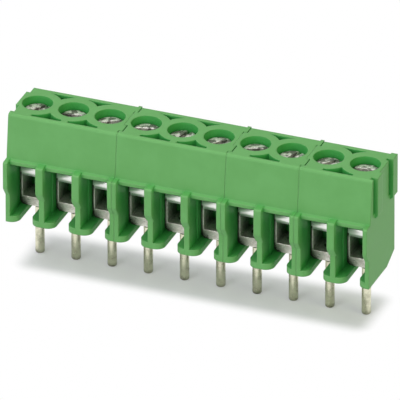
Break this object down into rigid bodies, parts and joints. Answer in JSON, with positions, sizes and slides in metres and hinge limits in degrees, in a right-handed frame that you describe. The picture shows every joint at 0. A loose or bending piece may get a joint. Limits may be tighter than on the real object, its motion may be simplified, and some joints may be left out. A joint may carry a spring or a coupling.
{
  "type": "pcb screw terminal",
  "caption": "Circuit board terminal with slotted clamping screws on top, wire entries at the front and round solder pins below.",
  "frame": {"origin": "centre of the row of solder pins, on the plane of the feet, which is the circuit board's top face", "axes": "+X along the row, from the first way to the last; the wires enter from -Y; +Z away from the board"},
  "size_m": [0.0353, 0.0071, 0.0154],
  "materials": {
    "housing": "moulded green polyamide, satin",
    "clamp_frame": "nickel plated, satin",
    "wire_guard": "bright spring strip",
    "clamp_screw": "zinc plated, bright",
    "solder_pin": "tin plated, satin"
  },
  "bodies": {
    "housing": {"housing_block_1": "housing", "housing_block_2": "housing", "housing_block_3": "housing", "housing_block_4": "housing", "clamp_frame_01": "clamp_frame", "solder_pin_01": "solder_pin", "clamp_frame_02": "clamp_frame", "solder_pin_02": "solder_pin", "clamp_frame_03": "clamp_frame", "solder_pin_03": "solder_pin", "clamp_frame_04": "clamp_frame", "solder_pin_04": "solder_pin", "clamp_frame_05": "clamp_frame", "solder_pin_05": "solder_pin", "clamp_frame_06": "clamp_frame", "solder_pin_06": "solder_pin", "clamp_frame_07": "clamp_frame", "solder_pin_07": "solder_pin", "clamp_frame_08": "clamp_frame", "solder_pin_08": "solder_pin", "clamp_frame_09": "clamp_frame", "solder_pin_09": "solder_pin", "clamp_frame_10": "clamp_frame", "solder_pin_10": "solder_pin"},
    "guard_01": {"wire_guard_01": "wire_guard"},
    "screw_01": {"clamp_screw_01": "clamp_screw"},
    "guard_02": {"wire_guard_02": "wire_guard"},
    "screw_02": {"clamp_screw_02": "clamp_screw"},
    "guard_03": {"wire_guard_03": "wire_guard"},
    "screw_03": {"clamp_screw_03": "clamp_screw"},
    "guard_04": {"wire_guard_04": "wire_guard"},
    "screw_04": {"clamp_screw_04": "clamp_screw"},
    "guard_05": {"wire_guard_05": "wire_guard"},
    "screw_05": {"clamp_screw_05": "clamp_screw"},
    "guard_06": {"wire_guard_06": "wire_guard"},
    "screw_06": {"clamp_screw_06": "clamp_screw"},
    "guard_07": {"wire_guard_07": "wire_guard"},
    "screw_07": {"clamp_screw_07": "clamp_screw"},
    "guard_08": {"wire_guard_08": "wire_guard"},
    "screw_08": {"clamp_screw_08": "clamp_screw"},
    "guard_09": {"wire_guard_09": "wire_guard"},
    "screw_09": {"clamp_screw_09": "clamp_screw"},
    "guard_10": {"wire_guard_10": "wire_guard"},
    "screw_10": {"clamp_screw_10": "clamp_screw"}
  },
  "joints": [
    {"name": "guard_01_press", "type": "slide", "parent": "housing", "child": "guard_01", "axis": [0, 0, -1], "range_m": [0, 0.0016]},
    {"name": "screw_01_turn", "type": "hinge", "parent": "guard_01", "child": "screw_01", "pos_m": [-0.01575, -0.0004, 0.009], "axis": [0, 0, -1], "range_deg": [0, 1500]},
    {"name": "guard_02_press", "type": "slide", "parent": "housing", "child": "guard_02", "axis": [0, 0, -1], "range_m": [0, 0.0016]},
    {"name": "screw_02_turn", "type": "hinge", "parent": "guard_02", "child": "screw_02", "pos_m": [-0.01225, -0.0004, 0.009], "axis": [0, 0, -1], "range_deg": [0, 1500]},
    {"name": "guard_03_press", "type": "slide", "parent": "housing", "child": "guard_03", "axis": [0, 0, -1], "range_m": [0, 0.0016]},
    {"name": "screw_03_turn", "type": "hinge", "parent": "guard_03", "child": "screw_03", "pos_m": [-0.00875, -0.0004, 0.009], "axis": [0, 0, -1], "range_deg": [0, 1500]},
    {"name": "guard_04_press", "type": "slide", "parent": "housing", "child": "guard_04", "axis": [0, 0, -1], "range_m": [0, 0.0016]},
    {"name": "screw_04_turn", "type": "hinge", "parent": "guard_04", "child": "screw_04", "pos_m": [-0.00525, -0.0004, 0.009], "axis": [0, 0, -1], "range_deg": [0, 1500]},
    {"name": "guard_05_press", "type": "slide", "parent": "housing", "child": "guard_05", "axis": [0, 0, -1], "range_m": [0, 0.0016]},
    {"name": "screw_05_turn", "type": "hinge", "parent": "guard_05", "child": "screw_05", "pos_m": [-0.00175, -0.0004, 0.009], "axis": [0, 0, -1], "range_deg": [0, 1500]},
    {"name": "guard_06_press", "type": "slide", "parent": "housing", "child": "guard_06", "axis": [0, 0, -1], "range_m": [0, 0.0016]},
    {"name": "screw_06_turn", "type": "hinge", "parent": "guard_06", "child": "screw_06", "pos_m": [0.00175, -0.0004, 0.009], "axis": [0, 0, -1], "range_deg": [0, 1500]},
    {"name": "guard_07_press", "type": "slide", "parent": "housing", "child": "guard_07", "axis": [0, 0, -1], "range_m": [0, 0.0016]},
    {"name": "screw_07_turn", "type": "hinge", "parent": "guard_07", "child": "screw_07", "pos_m": [0.00525, -0.0004, 0.009], "axis": [0, 0, -1], "range_deg": [0, 1500]},
    {"name": "guard_08_press", "type": "slide", "parent": "housing", "child": "guard_08", "axis": [0, 0, -1], "range_m": [0, 0.0016]},
    {"name": "screw_08_turn", "type": "hinge", "parent": "guard_08", "child": "screw_08", "pos_m": [0.00875, -0.0004, 0.009], "axis": [0, 0, -1], "range_deg": [0, 1500]},
    {"name": "guard_09_press", "type": "slide", "parent": "housing", "child": "guard_09", "axis": [0, 0, -1], "range_m": [0, 0.0016]},
    {"name": "screw_09_turn", "type": "hinge", "parent": "guard_09", "child": "screw_09", "pos_m": [0.01225, -0.0004, 0.009], "axis": [0, 0, -1], "range_deg": [0, 1500]},
    {"name": "guard_10_press", "type": "slide", "parent": "housing", "child": "guard_10", "axis": [0, 0, -1], "range_m": [0, 0.0016]},
    {"name": "screw_10_turn", "type": "hinge", "parent": "guard_10", "child": "screw_10", "pos_m": [0.01575, -0.0004, 0.009], "axis": [0, 0, -1], "range_deg": [0, 1500]}
  ],
  "couplings": [
    {"joint": "screw_01_turn", "follows": "guard_01_press", "rad_per_m": 15708},
    {"joint": "screw_02_turn", "follows": "guard_02_press", "rad_per_m": 15708},
    {"joint": "screw_03_turn", "follows": "guard_03_press", "rad_per_m": 15708},
    {"joint": "screw_04_turn", "follows": "guard_04_press", "rad_per_m": 15708},
    {"joint": "screw_05_turn", "follows": "guard_05_press", "rad_per_m": 15708},
    {"joint": "screw_06_turn", "follows": "guard_06_press", "rad_per_m": 15708},
    {"joint": "screw_07_turn", "follows": "guard_07_press", "rad_per_m": 15708},
    {"joint": "screw_08_turn", "follows": "guard_08_press", "rad_per_m": 15708},
    {"joint": "screw_09_turn", "follows": "guard_09_press", "rad_per_m": 15708},
    {"joint": "screw_10_turn", "follows": "guard_10_press", "rad_per_m": 15708}
  ]
}
